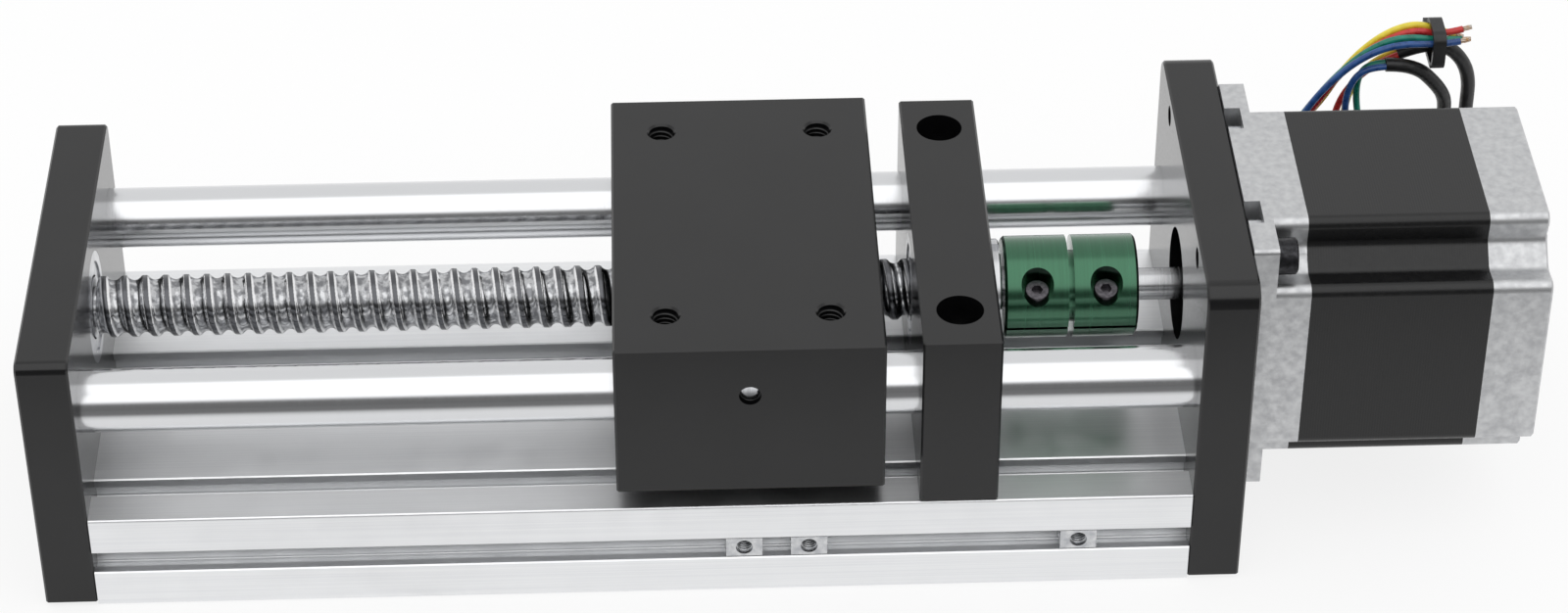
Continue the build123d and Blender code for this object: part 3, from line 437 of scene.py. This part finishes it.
# Threads of the tapped holes
def tapped(shape, mouth, axis, radius, pitch, depth):
    """Adds a thread's ridge as a coil on a hole's wall, 0.02 mm into it, with a flat crest."""
    ridge = bmesh.new()
    foot, crest = radius + 0.02, radius - 0.45 * pitch
    outline = [
        (0.44 * pitch, foot), (0.06 * pitch, crest), (-0.06 * pitch, crest), (-0.44 * pitch, foot),
        (0.44 * pitch, foot),
    ]
    screw_thread(ridge, outline, pitch, round(depth / pitch) - 1, 32, mouth + Vector(axis) * pitch, axis)
    bmesh.ops.remove_doubles(ridge, verts=ridge.verts, dist=0.001)
    bmesh.ops.holes_fill(ridge, edges=ridge.edges)
    coil = bpy.data.meshes.new("coil")
    ridge.to_mesh(coil)
    ridge.free()
    shape.from_mesh(coil)
    bpy.data.meshes.remove(coil)


carriage_threads = bmesh.new()
for along in (5.2, 36.2):
    for across in (-30, 30):
        tapped(carriage_threads, Vector((along, across, 59.6)), (0, 0, -1), 2.5, 1.0, 5.4)
tapped(carriage_threads, Vector((20.7, -40.9, 48.7)), (0, 1, 0), 2.1, 0.8, 3.6)
carriage_threads = piece("carriage_hole_threads", carriage_threads, "carriage", black_anodised)
nut_threads = bmesh.new()
for along in (19.4, 31.9, 83.9):
    tapped(nut_threads, Vector((along, -39.7, 10.5)), (0, 1, 0), 1.65, 0.7, 4.2)
piece("slot_nut_threads", nut_threads, "frame", zinc)


# Light: an even studio, brighter overhead and darker behind the camera
world = bpy.data.worlds.new("studio")
bpy.context.scene.world = world
world.use_nodes = True
tree = world.node_tree
direction = add(tree, "ShaderNodeTexCoord").outputs["Generated"]
height = {0: direction, 1: (0, -0.42, 0.91)}
height = add(tree, "ShaderNodeVectorMath", height, operation="DOT_PRODUCT").outputs["Value"]
overhead = spread(tree, height, 0, OVERHEAD, start=0.78, end=0.86, interpolation_type="SMOOTHSTEP")
parts = add(tree, "ShaderNodeSeparateXYZ", {0: direction}).outputs
front = spread(tree, parts["Y"], 0, 1, start=-0.35, end=-0.75, interpolation_type="SMOOTHSTEP")
low = spread(tree, parts["Z"], FRONT_SHADE, 0, start=0.34, end=0.53, interpolation_type="SMOOTHSTEP")
shade = add(tree, "ShaderNodeMath", {0: front, 1: low}, operation="MULTIPLY").outputs["Value"]
lit = add(tree, "ShaderNodeMath", {0: overhead, 1: STUDIO}, operation="ADD").outputs["Value"]
lit = add(tree, "ShaderNodeMath", {0: lit, 1: shade}, operation="SUBTRACT").outputs["Value"]
rays = add(tree, "ShaderNodeLightPath").outputs
strength = add(tree, "ShaderNodeMix", {0: rays["Is Camera Ray"], 2: lit, 3: 1.0}).outputs[0]
tree.links.new(strength, tree.nodes["Background"].inputs["Strength"])
tree.nodes["Background"].inputs["Color"].default_value = linear("#FFFFFF")

# Floor: a pale table that glows white to the camera; in reflections it shows a painted reflection, white near
# the module and dark grey farther in front of it, for the dark behind the camera
floor_material, tree, shader, place = surface("pale_table", "#F4F4F4", 0.0, 0.9)
rays = add(tree, "ShaderNodeLightPath").outputs
reach = add(tree, "ShaderNodeSeparateXYZ", {0: place}).outputs["Y"]
# Painted dark reflection: to glossy rays only, the floor turns dark grey from 80 to 190 mm in front of the
# module
dark_reflection_reach = spread(tree, reach, 0, 1, start=-80, end=-190, interpolation_type="SMOOTHSTEP")
painted_dark_reflection = add(tree, "ShaderNodeMath", {0: dark_reflection_reach, 1: rays["Is Glossy Ray"]}, operation="MULTIPLY").outputs["Value"]
backdrop_and_painted_reflection = add(tree, "ShaderNodeEmission", {"Color": tint(tree, painted_dark_reflection, "#FFFFFF", "#3C3C3C"), "Strength": 1.0})
seen = add(tree, "ShaderNodeMath", {0: rays["Is Camera Ray"], 1: rays["Is Glossy Ray"]}, operation="MAXIMUM")
share = {0: seen.outputs["Value"], 1: FLOOR_GLOW_AND_REFLECTION}
share = add(tree, "ShaderNodeMath", share, operation="MULTIPLY").outputs["Value"]
parts = {0: share, 1: shader.outputs["BSDF"], 2: backdrop_and_painted_reflection.outputs["Emission"]}
blended = add(tree, "ShaderNodeMixShader", parts).outputs["Shader"]
tree.links.new(blended, tree.nodes["Material Output"].inputs["Surface"])
floor_shape = bmesh.new()
under = Matrix.Translation((0, 0, -0.3 * MM))
bmesh.ops.create_grid(floor_shape, x_segments=1, y_segments=1, size=4.0, matrix=under)
floor_mesh = bpy.data.meshes.new("floor")
floor_shape.to_mesh(floor_mesh)
floor_shape.free()
floor_mesh.materials.append(floor_material)
floor = bpy.data.objects.new("floor", floor_mesh)
bpy.context.scene.collection.objects.link(floor)
